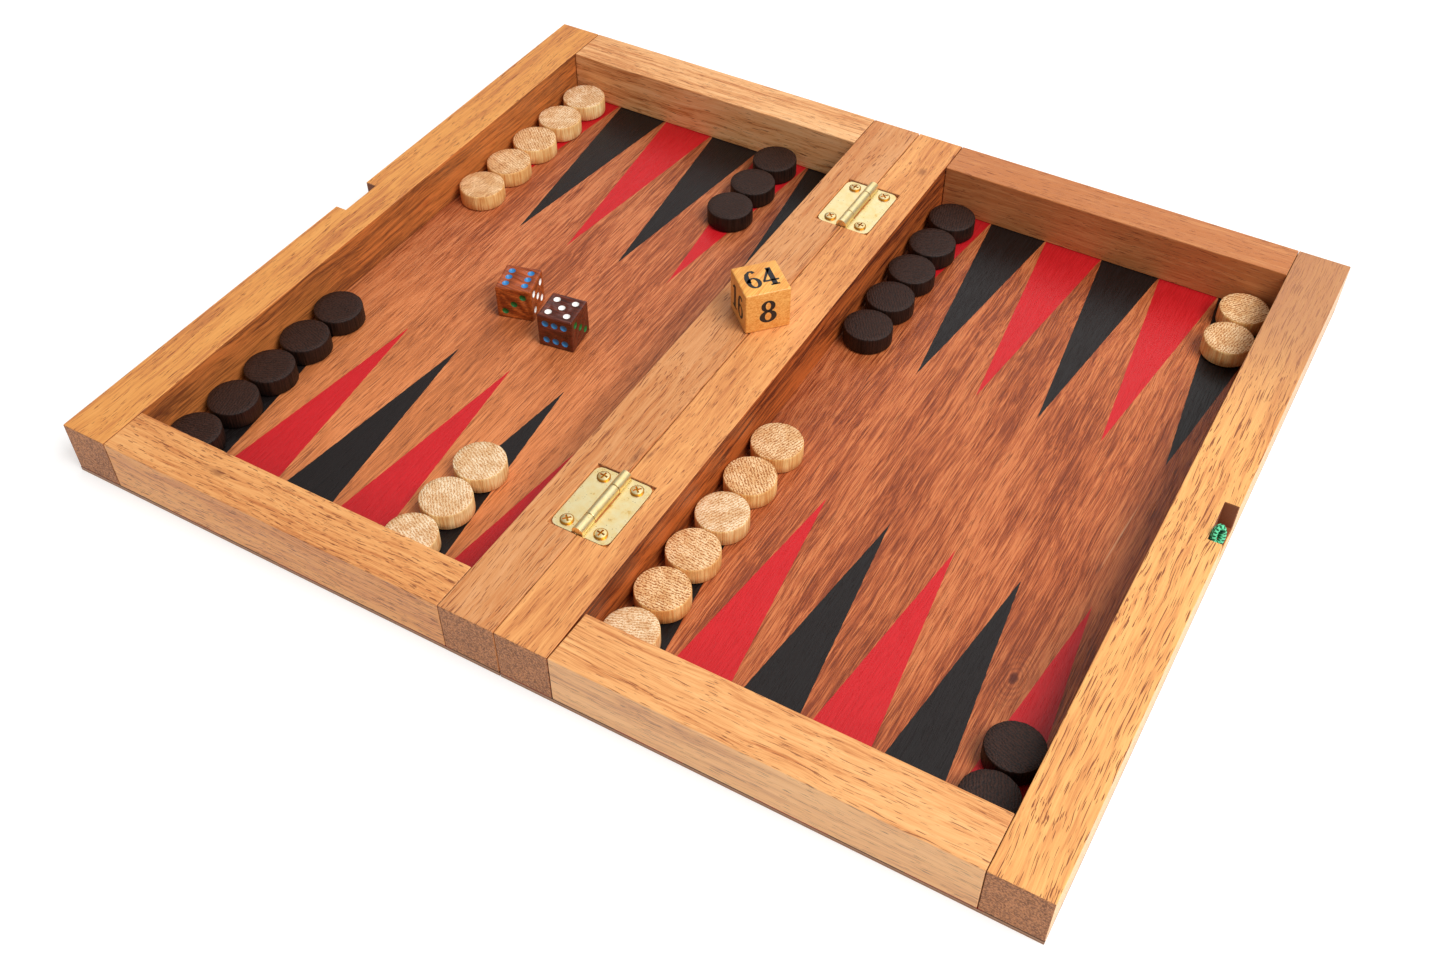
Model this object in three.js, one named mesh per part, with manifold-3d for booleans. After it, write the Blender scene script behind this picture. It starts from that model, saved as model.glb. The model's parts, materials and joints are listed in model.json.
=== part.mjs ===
// Folding backgammon case, open flat, with its game pieces laid out.
// Frame: millimetres, +Z up, Y = 0 mid-depth, Z = 0 on the table, X = 0 on the fold seam.
// The right tray (+X) stands still; the left tray (-X) folds over onto it.
import * as THREE from "three";
import { mergeVertices } from "three/addons/utils/BufferGeometryUtils.js";
import Module from "manifold-3d";

const wasm = await Module();
wasm.setup();

// ---------------------------------------------------------------- driving dimensions
const OPEN_WIDTH = 300; // both trays side by side, along X
const DEPTH = 255; // front to rear, along Y
const BASE_T = 1.5; // thin floor panel under the rails
const RAIL_H = 16.9; // rail height above the floor panel
const JOINT_GAP = 0.15; // hairline between glued rails, and half of the gap at the seam
const RAIL_WIDTHS = { // hand-cut stock, so no two rails are quite the same width
  leftOuter: 15.7,
  leftSeam: 17.3,
  rightSeam: 16.3,
  rightOuter: 16.4,
  leftFront: 14.9,
  leftRear: 16.4,
  rightFront: 16.8,
  rightRear: 14.3,
};
const OPEN_JOINT = 0.6; // where the right front rail's glue joint has opened at its inner corner

const NOTCH = { length: 15.6, depth: 4.2, height: 8.8 }; // finger notch in each outer rail

const HINGE = {
  centresY: { front: -77, rear: 78.3 },
  length: 24.5,
  leafReach: 9.2, // from the pin's axis to the leaf's outer edge
  leafT: 0.8,
  leafBelowRim: 0.4, // from the rim down to the leaf's upper face
  cornerR: 2.2,
  axisAboveRim: 0.4,
  knuckleR: 1.75,
  middleKnuckle: 12,
  pinR: 0.9,
  pinFit: 0.06,
  clearance: 0.25,
  mortiseSlack: 0.1,
};
const SCREW = { x: 5.4, y: 9.1, headR: 2, headH: 0.75, shankR: 0.8, length: 7, slotDepth: 0.45 };

const CHECKER = { r: 7.9, t: 6.3, edge: 0.4 };
const DIE = { size: 12, edge: 0.45 };
const DOUBLING_CUBE = { size: 14.5, edge: 0.5, x: -1.1, y: 13.3, turn: 48 };
const CORD = {
  r: 0.8,
  holeR: 1.15,
  holeDepth: 6,
  holeBelowRim: 3.6,
  knot: [2, 3, 3.7], // half sizes
  y: -4.7,
  knotBelowRim: 0.5,
  tail: 7,
};

const RIM = BASE_T + RAIL_H;
const HALF_WIDTH = OPEN_WIDTH / 2;
const HALF_DEPTH = DEPTH / 2;
const AXIS_Z = RIM + HINGE.axisAboveRim;
const LEAF_TOP = RIM - HINGE.leafBelowRim;
const LEAF_BOTTOM = LEAF_TOP - HINGE.leafT;

// Stacks of checkers: each lies on one point, against a wall; ys lists the centres.
const STACKS = [
  { side: "light", x: -125.4, ys: [102.5, 86.4, 70.2, 54.1, 38.0] },
  { side: "dark", x: -44.1, ys: [102.6, 86.5, 70.4] },
  { side: "dark", x: -125.9, ys: [-38.7, -54.9, -71.1, -87.3, -103.5] },
  { side: "light", x: -45.9, ys: [-72.1, -88.3, -104.4] },
  { side: "dark", x: 24.8, ys: [102.4, 86.2, 70.0, 53.7, 37.5] },
  { side: "light", x: 125.2, ys: [104.3, 88.0] },
  { side: "light", x: 24.6, ys: [-22.5, -38.6, -54.6, -70.6, -86.6, -102.6] },
  { side: "dark", x: 125.2, ys: [-86.4, -102.6] },
];
const DICE = [
  { name: "die_left", x: -79.6, y: -4, turn: 16 },
  { name: "die_right", x: -59.3, y: -9.3, turn: 8 },
];

// ---------------------------------------------------------------- materials
function material(color, roughness, metalness = 0) {
  return new THREE.MeshStandardMaterial({ color, roughness, metalness });
}

const COLOURS = {
  rail: [0xd9a066, 0.6],
  railRed: [0xc98a5a, 0.6],
  panel: [0xb5693f, 0.55],
  light: [0xe6c79c, 0.7],
  dark: [0x2b1d1a, 0.6],
  dieLeft: [0x8a3d14, 0.45],
  dieRight: [0x4a1f12, 0.45],
  cube: [0xe8c277, 0.5],
  cord: [0x57c98c, 0.8],
  brass: [0xe3cf95, 0.3, 1],
};

// ---------------------------------------------------------------- geometry helpers
const root = new THREE.Group();

function addPiece(name, geometry, look, place = {}) {
  const mesh = new THREE.Mesh(geometry, material(...look));
  mesh.name = name;
  mesh.position.set(place.x ?? 0, place.y ?? 0, place.z ?? 0);
  mesh.rotation.z = THREE.MathUtils.degToRad(place.turn ?? 0);
  root.add(mesh);
}

function toSolid(geometry) {
  const bare = geometry.clone();
  bare.deleteAttribute("normal");
  bare.deleteAttribute("uv");
  const merged = mergeVertices(bare, 1e-4);
  return new wasm.Manifold(new wasm.Mesh({
    numProp: 3,
    vertProperties: new Float32Array(merged.attributes.position.array),
    triVerts: new Uint32Array(merged.index.array),
  }));
}

function toGeometry(solid) {
  const mesh = solid.getMesh();
  const geometry = new THREE.BufferGeometry();
  geometry.setAttribute("position", new THREE.BufferAttribute(mesh.vertProperties, 3));
  geometry.setIndex(new THREE.BufferAttribute(mesh.triVerts, 1));
  geometry.computeVertexNormals();
  return geometry;
}

function box([x0, x1], [y0, y1], [z0, z1]) {
  const geometry = new THREE.BoxGeometry(x1 - x0, y1 - y0, z1 - z0);
  geometry.translate((x0 + x1) / 2, (y0 + y1) / 2, (z0 + z1) / 2);
  return geometry;
}

// A plan outline (x, y points) raised from z0 to z1.
function prism(points, z0, z1) {
  const shape = new THREE.Shape(points.map(([x, y]) => new THREE.Vector2(x, y)));
  const geometry = new THREE.ExtrudeGeometry(shape, { depth: z1 - z0, bevelEnabled: false });
  geometry.translate(0, 0, z0);
  return geometry;
}

// A round bar along +Y, +X or +Z, starting at the given point.
function bar(radius, length, along, [x, y, z], sides = 20) {
  const geometry = new THREE.CylinderGeometry(radius, radius, length, sides);
  geometry.translate(0, length / 2, 0);
  if (along === "z") geometry.rotateX(Math.PI / 2);
  if (along === "x") geometry.rotateZ(-Math.PI / 2);
  geometry.translate(x, y, z);
  return geometry;
}

function turned(profile, sides) {
  const points = profile.map(([r, z]) => new THREE.Vector2(r, z));
  const geometry = new THREE.LatheGeometry(points, sides);
  geometry.rotateX(Math.PI / 2);
  return geometry;
}

// A cube with every edge cut back by the same chamfer.
function chamferedCube(size, edge) {
  const half = size / 2;
  const flat = half - edge;
  const octagon = [
    [half, -flat], [half, flat], [flat, half], [-flat, half],
    [-half, flat], [-half, -flat], [-flat, -half], [flat, -half],
  ];
  const column = prism(octagon, -half, half);
  const alongX = column.clone().rotateY(Math.PI / 2);
  const alongY = column.clone().rotateX(Math.PI / 2);
  return toGeometry(toSolid(column).intersect(toSolid(alongX)).intersect(toSolid(alongY)));
}

// ---------------------------------------------------------------- trays
const W = RAIL_WIDTHS;
const LEFT = { outer: -HALF_WIDTH, seam: -JOINT_GAP };
const RIGHT = { seam: JOINT_GAP, outer: HALF_WIDTH };
LEFT.inner = [LEFT.outer + W.leftOuter, -W.leftSeam];
RIGHT.inner = [W.rightSeam, RIGHT.outer - W.rightOuter];

function notchCutter(outerX) {
  const inward = outerX < 0 ? outerX + NOTCH.depth : outerX - NOTCH.depth;
  const outward = outerX < 0 ? outerX - 1 : outerX + 1;
  const xs = [inward, outward].sort((a, b) => a - b);
  return toSolid(box(xs, [-NOTCH.length / 2, NOTCH.length / 2], [RIM - NOTCH.height, RIM + 1]));
}

function longRail([x0, x1]) {
  return toSolid(box([x0, x1], [-HALF_DEPTH, HALF_DEPTH], [BASE_T, RIM]));
}

// The mortise for one leaf, the groove for the knuckles, and the screws' pilot holes.
function hingeCutter(side, centreY) {
  const halfLength = HINGE.length / 2 + HINGE.clearance;
  const ys = [centreY - halfLength, centreY + halfLength];
  const xs = [-0.5 * side, (HINGE.leafReach + HINGE.clearance) * side].sort((a, b) => a - b);
  const floorZ = LEAF_BOTTOM - HINGE.mortiseSlack;
  const grooveR = HINGE.knuckleR + HINGE.clearance;
  let cutter = toSolid(box(xs, ys, [floorZ, RIM + 1]));
  cutter = cutter.add(toSolid(bar(grooveR, ys[1] - ys[0], "y", [0, ys[0], AXIS_Z])));
  for (const end of [-1, 1]) {
    const at = [SCREW.x * side, centreY + SCREW.y * end, LEAF_TOP - SCREW.length - 0.5];
    cutter = cutter.add(toSolid(bar(SCREW.shankR + HINGE.clearance, SCREW.length + 1, "z", at, 12)));
  }
  return cutter;
}

function seamRail(xs, side) {
  let rail = longRail(xs);
  for (const centreY of Object.values(HINGE.centresY)) {
    rail = rail.subtract(hingeCutter(side, centreY));
  }
  return toGeometry(rail);
}

function shortRail([x0, x1], [y0, y1]) {
  return box([x0 + JOINT_GAP, x1 - JOINT_GAP], [y0, y1], [BASE_T, RIM]);
}

function floorPanel([x0, x1]) {
  return box([x0, x1], [-HALF_DEPTH, HALF_DEPTH], [0, BASE_T]);
}

function buildTrays() {
  const cordHole = toSolid(bar(
    CORD.holeR, CORD.holeDepth + 1, "x",
    [HALF_WIDTH - NOTCH.depth - CORD.holeDepth, CORD.y, RIM - CORD.holeBelowRim], 12,
  ));
  const leftOuter = longRail([LEFT.outer, LEFT.inner[0]]).subtract(notchCutter(LEFT.outer));
  const rightOuter = longRail([RIGHT.inner[1], RIGHT.outer])
    .subtract(notchCutter(RIGHT.outer))
    .subtract(cordHole);
  const rightFrontOutline = [
    [RIGHT.inner[0] + JOINT_GAP, -HALF_DEPTH],
    [RIGHT.inner[1] - JOINT_GAP, -HALF_DEPTH],
    [RIGHT.inner[1] - JOINT_GAP, -HALF_DEPTH + W.rightFront],
    [RIGHT.inner[0] + OPEN_JOINT, -HALF_DEPTH + W.rightFront],
  ];

  addPiece("left_rail_outer", toGeometry(leftOuter), COLOURS.rail);
  addPiece("left_rail_seam", seamRail([LEFT.inner[1], LEFT.seam], -1), COLOURS.rail);
  addPiece(
    "left_rail_front", shortRail(LEFT.inner, [-HALF_DEPTH, -HALF_DEPTH + W.leftFront]), COLOURS.rail);
  addPiece(
    "left_rail_rear", shortRail(LEFT.inner, [HALF_DEPTH - W.leftRear, HALF_DEPTH]), COLOURS.rail);
  addPiece("left_floor", floorPanel([LEFT.outer, LEFT.seam]), COLOURS.panel);

  addPiece("right_rail_outer", toGeometry(rightOuter), COLOURS.rail);
  addPiece("right_rail_seam", seamRail([RIGHT.seam, RIGHT.inner[0]], 1), COLOURS.railRed);
  addPiece("right_rail_front", prism(rightFrontOutline, BASE_T, RIM), COLOURS.rail);
  addPiece(
    "right_rail_rear", shortRail(RIGHT.inner, [HALF_DEPTH - W.rightRear, HALF_DEPTH]), COLOURS.rail);
  addPiece("right_floor", floorPanel([RIGHT.seam, RIGHT.outer]), COLOURS.panel);
}

// ---------------------------------------------------------------- hinges
// A leaf's plan: square at the pin, rounded at the two outer corners.
function leafOutline(side) {
  const half = HINGE.length / 2;
  const r = HINGE.cornerR;
  const points = [[0, -half]];
  for (const end of [-1, 1]) {
    for (let step = 0; step <= 3; step += 1) {
      const angle = (Math.PI / 2) * (end < 0 ? step / 3 - 1 : step / 3);
      points.push([
        HINGE.leafReach - r + r * Math.cos(angle),
        end * (half - r) + r * Math.sin(angle),
      ]);
    }
  }
  points.push([0, half]);
  const mirrored = points.map(([x, y]) => [x * side, y]);
  return side > 0 ? mirrored : mirrored.reverse();
}

// Lengths of barrel along the pin: the left leaf owns the middle, the right leaf the two ends.
function knuckleSpans(side) {
  const half = HINGE.length / 2;
  const middle = HINGE.middleKnuckle / 2;
  if (side < 0) return [[-middle, middle]];
  return [[-half, -middle - HINGE.clearance], [middle + HINGE.clearance, half]];
}

function hingeLeaf(side) {
  const axisHeight = AXIS_Z - LEAF_BOTTOM;
  let leaf = toSolid(prism(leafOutline(side), 0, HINGE.leafT));
  for (const [y0, y1] of knuckleSpans(-side)) {
    const clearR = HINGE.knuckleR + HINGE.clearance;
    const xs = [-clearR, clearR];
    const ys = [y0 - HINGE.clearance, y1 + HINGE.clearance];
    leaf = leaf.subtract(toSolid(box(xs, ys, [-1, HINGE.leafT + 1])));
  }
  for (const [y0, y1] of knuckleSpans(side)) {
    leaf = leaf.add(toSolid(bar(HINGE.knuckleR, y1 - y0, "y", [0, y0, axisHeight])));
  }
  const boreStart = -HINGE.length / 2 - 1;
  const bore = bar(HINGE.pinR + HINGE.pinFit, HINGE.length + 2, "y", [0, boreStart, axisHeight]);
  leaf = leaf.subtract(toSolid(bore));
  for (const end of [-1, 1]) {
    const hole = bar(SCREW.shankR + HINGE.clearance, 4, "z", [SCREW.x * side, SCREW.y * end, -1], 12);
    leaf = leaf.subtract(toSolid(hole));
  }
  return toGeometry(leaf);
}

// Pan-head screw with a cross recess; its head's underside is at z = 0.
function crossHeadScrew() {
  const { headR, headH, shankR, length, slotDepth } = SCREW;
  const profile = [
    [0, -length], [shankR, -length + 2], [shankR, 0], [headR, 0],
    [headR, headH * 0.45], [headR * 0.72, headH * 0.88], [0, headH],
  ];
  const slotSize = headR * 0.62;
  const slotZ = [headH - slotDepth, headH + 1];
  const slotA = toSolid(box([-slotSize, slotSize], [-0.28, 0.28], slotZ));
  const slotB = toSolid(box([-0.28, 0.28], [-slotSize, slotSize], slotZ));
  return toGeometry(toSolid(turned(profile, 16)).subtract(slotA).subtract(slotB));
}

function buildHinges() {
  const sides = { left: -1, right: 1 };
  const screwGap = 0.02;
  for (const [hingeName, y] of Object.entries(HINGE.centresY)) {
    for (const [sideName, side] of Object.entries(sides)) {
      const place = { y, z: LEAF_BOTTOM };
      addPiece(`hinge_${hingeName}_leaf_${sideName}`, hingeLeaf(side), COLOURS.brass, place);
      for (const [endName, end] of [["near", -1], ["far", 1]]) {
        addPiece(`screw_${hingeName}_${sideName}_${endName}`, crossHeadScrew(), COLOURS.brass, {
          x: SCREW.x * side,
          y: y + SCREW.y * end,
          z: LEAF_TOP + screwGap,
          turn: 20 + 25 * end * side,
        });
      }
    }
    const pin = bar(HINGE.pinR, HINGE.length, "y", [0, -HINGE.length / 2, 0]);
    addPiece(`hinge_${hingeName}_pin`, pin, COLOURS.brass, { y, z: AXIS_Z });
  }
}

// ---------------------------------------------------------------- closure cord
// Anchored in a blind hole in the right notch, knotted, with a short tail hanging down.
function buildCord() {
  const knotX = HALF_WIDTH - CORD.knot[0] - 0.1;
  const knotZ = RIM - CORD.knotBelowRim;
  const holeZ = RIM - CORD.holeBelowRim;
  const knot = new THREE.SphereGeometry(1, 14, 10);
  knot.scale(...CORD.knot);
  knot.translate(knotX, CORD.y, knotZ);
  const holeEnd = HALF_WIDTH - NOTCH.depth - CORD.holeDepth;
  const anchor = bar(CORD.r, knotX - holeEnd - 0.4, "x", [holeEnd + 0.4, CORD.y, holeZ], 10);
  const tailX = HALF_WIDTH - CORD.r - 0.1;
  const tail = bar(CORD.r * 0.8, CORD.tail, "z", [tailX, CORD.y - 1.6, knotZ - CORD.tail], 8);
  const cord = toSolid(knot).add(toSolid(anchor)).add(toSolid(tail));
  addPiece("closure_cord", toGeometry(cord), COLOURS.cord);
}

// ---------------------------------------------------------------- game pieces
function checkerGeometry() {
  const { r, t, edge } = CHECKER;
  return turned([[0, 0], [r - edge, 0], [r, edge], [r, t - edge], [r - edge, t], [0, t]], 24);
}

function buildPieces() {
  const counts = { light: 0, dark: 0 };
  for (const { side, x, ys } of STACKS) {
    for (const y of ys) {
      counts[side] += 1;
      const name = `${side}_checker_${String(counts[side]).padStart(2, "0")}`;
      addPiece(name, checkerGeometry(), COLOURS[side], { x, y, z: BASE_T });
    }
  }
  const dieLooks = { die_left: COLOURS.dieLeft, die_right: COLOURS.dieRight };
  for (const { name, x, y, turn } of DICE) {
    const z = BASE_T + DIE.size / 2;
    addPiece(name, chamferedCube(DIE.size, DIE.edge), dieLooks[name], { x, y, z, turn });
  }
  const { size, edge, x, y, turn } = DOUBLING_CUBE;
  const z = RIM + size / 2;
  addPiece("doubling_cube", chamferedCube(size, edge), COLOURS.cube, { x, y, z, turn });
}

buildTrays();
buildHinges();
buildCord();
buildPieces();

export default root;
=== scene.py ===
import json
import math
import random

import bmesh
import bpy
from mathutils import Matrix, Vector, noise


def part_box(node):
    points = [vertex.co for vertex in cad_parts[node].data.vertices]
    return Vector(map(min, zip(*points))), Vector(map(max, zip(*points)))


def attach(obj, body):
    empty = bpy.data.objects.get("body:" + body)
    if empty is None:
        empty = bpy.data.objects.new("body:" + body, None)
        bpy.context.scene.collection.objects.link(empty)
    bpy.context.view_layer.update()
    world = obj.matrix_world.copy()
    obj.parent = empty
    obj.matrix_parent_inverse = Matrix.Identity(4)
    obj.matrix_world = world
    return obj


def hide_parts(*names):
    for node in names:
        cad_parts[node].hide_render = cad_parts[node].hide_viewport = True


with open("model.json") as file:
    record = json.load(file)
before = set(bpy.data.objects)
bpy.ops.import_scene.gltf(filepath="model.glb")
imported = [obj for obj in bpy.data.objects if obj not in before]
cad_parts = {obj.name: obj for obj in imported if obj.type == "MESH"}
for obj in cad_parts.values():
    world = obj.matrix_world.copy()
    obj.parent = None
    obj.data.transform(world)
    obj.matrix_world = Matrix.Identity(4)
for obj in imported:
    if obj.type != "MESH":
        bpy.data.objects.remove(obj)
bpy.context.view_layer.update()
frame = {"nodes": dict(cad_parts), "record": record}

MM = 0.001
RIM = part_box("left_rail_outer")[1].z
RECORD = frame["record"]
BODY_OF = {node: body for body, nodes in RECORD["behaviour"]["bodies"].items() for node in nodes}
NODES = sorted(frame["nodes"])


# ---------------------------------------------------------------- camera, light and floor
CAMERA_AT = Vector((167.35, -303.3, 320.4)) * MM
LOOK_AT = Vector((23.97, -53.45, 18.4)) * MM
LENS_MM = 37.9
SENSOR_MM = 36
WORLD_STRENGTH = 0.34
# Each softbox has its place and the side of its square in metres, and its power in watts.
SOFTBOXES = {
    "key": {"at": (1.0, -0.15, 1.4), "size": 0.9, "power": 29},
    "back_softbox": {"at": (-0.1, 1.0, 1.0), "size": 1.4, "power": 4.9},
}
GROUND = {"reach": 4, "below": 0.02 * MM}


def build_camera():
    data = bpy.data.cameras.new("camera")
    data.sensor_width = SENSOR_MM
    data.lens = LENS_MM
    data.clip_start = 0.01
    data.clip_end = 20
    camera = bpy.data.objects.new("camera", data)
    camera.location = CAMERA_AT
    camera.rotation_mode = "QUATERNION"
    camera.rotation_quaternion = (LOOK_AT - CAMERA_AT).to_track_quat("-Z", "Y")
    bpy.context.scene.collection.objects.link(camera)
    bpy.context.scene.camera = camera


def area_light(name, at, size, power):
    data = bpy.data.lights.new(name, "AREA")
    data.shape = "SQUARE"
    data.size = size
    data.energy = power
    light = bpy.data.objects.new(name, data)
    light.location = at
    light.rotation_mode = "QUATERNION"
    light.rotation_quaternion = (-Vector(at)).to_track_quat("-Z", "Y")
    bpy.context.scene.collection.objects.link(light)


def build_studio():
    world = bpy.data.worlds.new("studio")
    world.use_nodes = True
    background = world.node_tree.nodes["Background"]
    background.inputs["Color"].default_value = (1, 1, 1, 1)
    background.inputs["Strength"].default_value = WORLD_STRENGTH
    bpy.context.scene.world = world
    for name, softbox in SOFTBOXES.items():
        area_light(name, **softbox)
    bpy.context.scene.view_settings.view_transform = "Standard"

    mesh = bpy.data.meshes.new("floor")
    reach = GROUND["reach"]
    corners = [(-reach, -reach, 0), (reach, -reach, 0), (reach, reach, 0), (-reach, reach, 0)]
    mesh.from_pydata(corners, [], [(0, 1, 2, 3)])
    floor = bpy.data.objects.new("floor", mesh)
    bpy.context.scene.collection.objects.link(floor)
    floor.location.z = -GROUND["below"]
    graph = Graph("pale_floor")
    graph.surface(srgb(205, 204, 202), 0.9, Emission_Color=(1, 1, 1, 1), Emission_Strength=0.5)
    mesh.materials.append(graph.material)


# ---------------------------------------------------------------- material graphs
def srgb(red, green, blue):
    """A colour given as 0 to 255 display values, as linear red, green, blue and alpha."""
    def linear(value):
        share = value / 255
        return share / 12.92 if share <= 0.04045 else ((share + 0.055) / 1.055) ** 2.4
    return (linear(red), linear(green), linear(blue), 1)


class Graph:
    """A material's node tree, with a short method for each kind of node that this script needs."""

    def __init__(self, name):
        self.material = bpy.data.materials.new(name)
        self.material.use_nodes = True
        self.tree = self.material.node_tree
        self.tree.nodes.clear()

    def add(self, kind, inputs=(), **settings):
        node = self.tree.nodes.new(kind)
        for key, value in settings.items():
            setattr(node, key, value)
        for key, value in dict(inputs).items():
            if isinstance(value, bpy.types.NodeSocket):
                self.tree.links.new(value, node.inputs[key])
            else:
                node.inputs[key].default_value = value
        return node

    def math(self, operation, a, b=0.0, c=0.0):
        return self.add("ShaderNodeMath", {0: a, 1: b, 2: c}, operation=operation).outputs[0]

    def vector(self, operation, a, b=(0, 0, 0), c=(0, 0, 0)):
        return self.add("ShaderNodeVectorMath", {0: a, 1: b, 2: c}, operation=operation).outputs[0]

    def split(self, vector):
        return self.add("ShaderNodeSeparateXYZ", {0: vector}).outputs

    def position(self, offset=(0, 0, 0)):
        """The point's place in its body, in millimetres, moved by offset so that pieces differ."""
        place = self.add("ShaderNodeTexCoord").outputs["Object"]
        return self.vector("MULTIPLY_ADD", place, (1000, 1000, 1000), offset)

    def normal(self):
        return self.add("ShaderNodeTexCoord").outputs["Normal"]

    def noise(self, vector, scale=(1, 1, 1), detail=2.0, roughness=0.5):
        inputs = {
            "Vector": self.vector("MULTIPLY", vector, scale),
            "Scale": 1.0, "Detail": detail, "Roughness": roughness,
        }
        return self.add("ShaderNodeTexNoise", inputs).outputs["Fac"]

    def length(self, vector):
        return self.add("ShaderNodeVectorMath", {0: vector}, operation="LENGTH").outputs["Value"]

    def dot(self, a, b):
        return self.add("ShaderNodeVectorMath", {0: a, 1: b}, operation="DOT_PRODUCT").outputs["Value"]

    def attribute(self, name):
        return self.add("ShaderNodeAttribute", attribute_name=name).outputs["Fac"]

    def cells(self, vector, scale):
        """Distance from the middle of the nearest cell, and a random number for that cell."""
        inputs = {"Vector": self.vector("MULTIPLY", vector, scale), "Scale": 1.0}
        node = self.add("ShaderNodeTexVoronoi", inputs)
        return node.outputs["Distance"], self.split(node.outputs["Color"])[0]

    def step(self, value, low, high):
        """0 at low, 1 at high and smooth between. Either of the two may be the larger."""
        inputs = {"Value": value, "From Min": low, "From Max": high}
        return self.add("ShaderNodeMapRange", inputs, interpolation_type="SMOOTHSTEP").outputs[0]

    def ramp(self, value, *stops):
        """A colour from stops, each a place from 0 to 1 and the colour there."""
        node = self.add("ShaderNodeValToRGB", {0: value})
        elements = node.color_ramp.elements
        while len(elements) < len(stops):
            elements.new(0.5)
        for element, (place, color) in zip(elements, stops):
            element.position = place
            element.color = color
        return node.outputs[0]

    def blend(self, factor, a, b, mode="MIX"):
        inputs = {0: factor, 6: a, 7: b}
        return self.add("ShaderNodeMix", inputs, data_type="RGBA", blend_type=mode).outputs[2]

    def surface(self, color, roughness, height=None, depth=0.1, **sockets):
        """The shader. height is 0 to 1, and depth its reach in millimetres."""
        inputs = {"Base Color": color, "Roughness": roughness}
        inputs.update({name.replace("_", " "): value for name, value in sockets.items()})
        if height is not None:
            relief = {"Height": height, "Strength": 1.0, "Distance": depth * MM}
            inputs["Normal"] = self.add("ShaderNodeBump", relief).outputs[0]
        shader = self.add("ShaderNodeBsdfPrincipled", inputs)
        self.add("ShaderNodeOutputMaterial", {"Surface": shader.outputs[0]})
        return self.material


# ---------------------------------------------------------------- wood
X, Y, Z = range(3)


def along(grain, cross, run):
    """Texture scale per millimetre: run along the grain, cross across it."""
    return tuple(run if axis == grain else cross for axis in (X, Y, Z))


class Grain:
    """Solid wood: the same field shows as streaks on long faces and as dots on end faces."""

    def __init__(self, graph, grain, offset, waviness=0.8, fineness=1.0):
        self.graph = graph
        self.grain = grain
        still = graph.position(offset)
        slow = graph.vector("MULTIPLY", still, along(grain, 0.05, 0.022))
        sway = graph.add("ShaderNodeTexNoise", {"Vector": slow, "Scale": 1.0, "Detail": 2.0})
        centred = graph.vector("SUBTRACT", sway.outputs["Color"], (0.5, 0.5, 0.5))
        reach = along(grain, waviness * 6, 0)
        self.place = graph.vector("MULTIPLY_ADD", centred, reach, still)
        self.fibres = self.field(2.6 * fineness, 0.09, 3)
        self.streaks = self.field(0.7 * fineness, 0.02, 3)
        self.figure = self.field(0.08, 0.011, 2)

    def field(self, cross, run, detail):
        """Noise drawn out along the grain, spread to fill 0 to 1."""
        drawn_out = self.graph.noise(self.place, along(self.grain, cross, run), detail, roughness=0.6)
        return self.graph.step(drawn_out, 0.28, 0.72)

    def tone(self, streaks=0.4, fibres=0.4, figure=0.35):
        """One number, about 0 to 1, for how light the wood is here."""
        graph = self.graph
        total = graph.math("MULTIPLY", self.streaks, streaks)
        total = graph.math("MULTIPLY_ADD", self.fibres, fibres, total)
        total = graph.math("MULTIPLY_ADD", self.figure, figure, total)
        return graph.math("MULTIPLY", total, 1 / (streaks + fibres + figure))

    def pores(self, width=0.28, length=5.5, limit=0.66):
        """1 in the open pores: short dashes along the grain, crowded where the streaks are dark."""
        graph = self.graph
        dashes = graph.noise(self.place, along(self.grain, 1 / width, 1 / length), detail=1)
        crowded = graph.math("MULTIPLY_ADD", self.streaks, -0.07, dashes)
        return graph.step(crowded, limit - 0.06, limit)

    def end_face(self):
        """1 on faces that cut across the grain."""
        graph = self.graph
        lean = graph.math("ABSOLUTE", graph.split(graph.normal())[self.grain])
        return graph.step(lean, 0.6, 0.85)


RAIL_TONES = {
    "light": srgb(238, 174, 108),
    "mid": srgb(228, 157, 92),
    "dark": srgb(198, 122, 66),
    "pore": srgb(128, 64, 32),
    "end_light": srgb(198, 132, 84),
    "end_dark": srgb(118, 70, 40),
}
RAIL_MARKS = {
    "faded": srgb(176, 120, 84),
    "stain": srgb(112, 54, 28),
    # bleached is painted light on the faces turned away from the tray.
    "painted_side_light": srgb(248, 226, 186),
    # shade_and_oil_dark and shade_and_oil_light colour the inward faces: partly painted shade, partly
    # darker oil.
    "shade_and_oil_dark": srgb(84, 30, 10),
    "shade_and_oil_light": srgb(194, 100, 42),
    # sawn colours the notch faces: partly raw sawn wood, partly painted shade in the notch.
    "sawn": srgb(136, 76, 44),
}
# Where the raw faces of the finger notches are, in millimetres: at most half_length from y = 0, and
# between wall and mouth from x = 0.
NOTCH = {"half_length": 7.9, "wall": 145.75, "mouth": 149.6}


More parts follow.
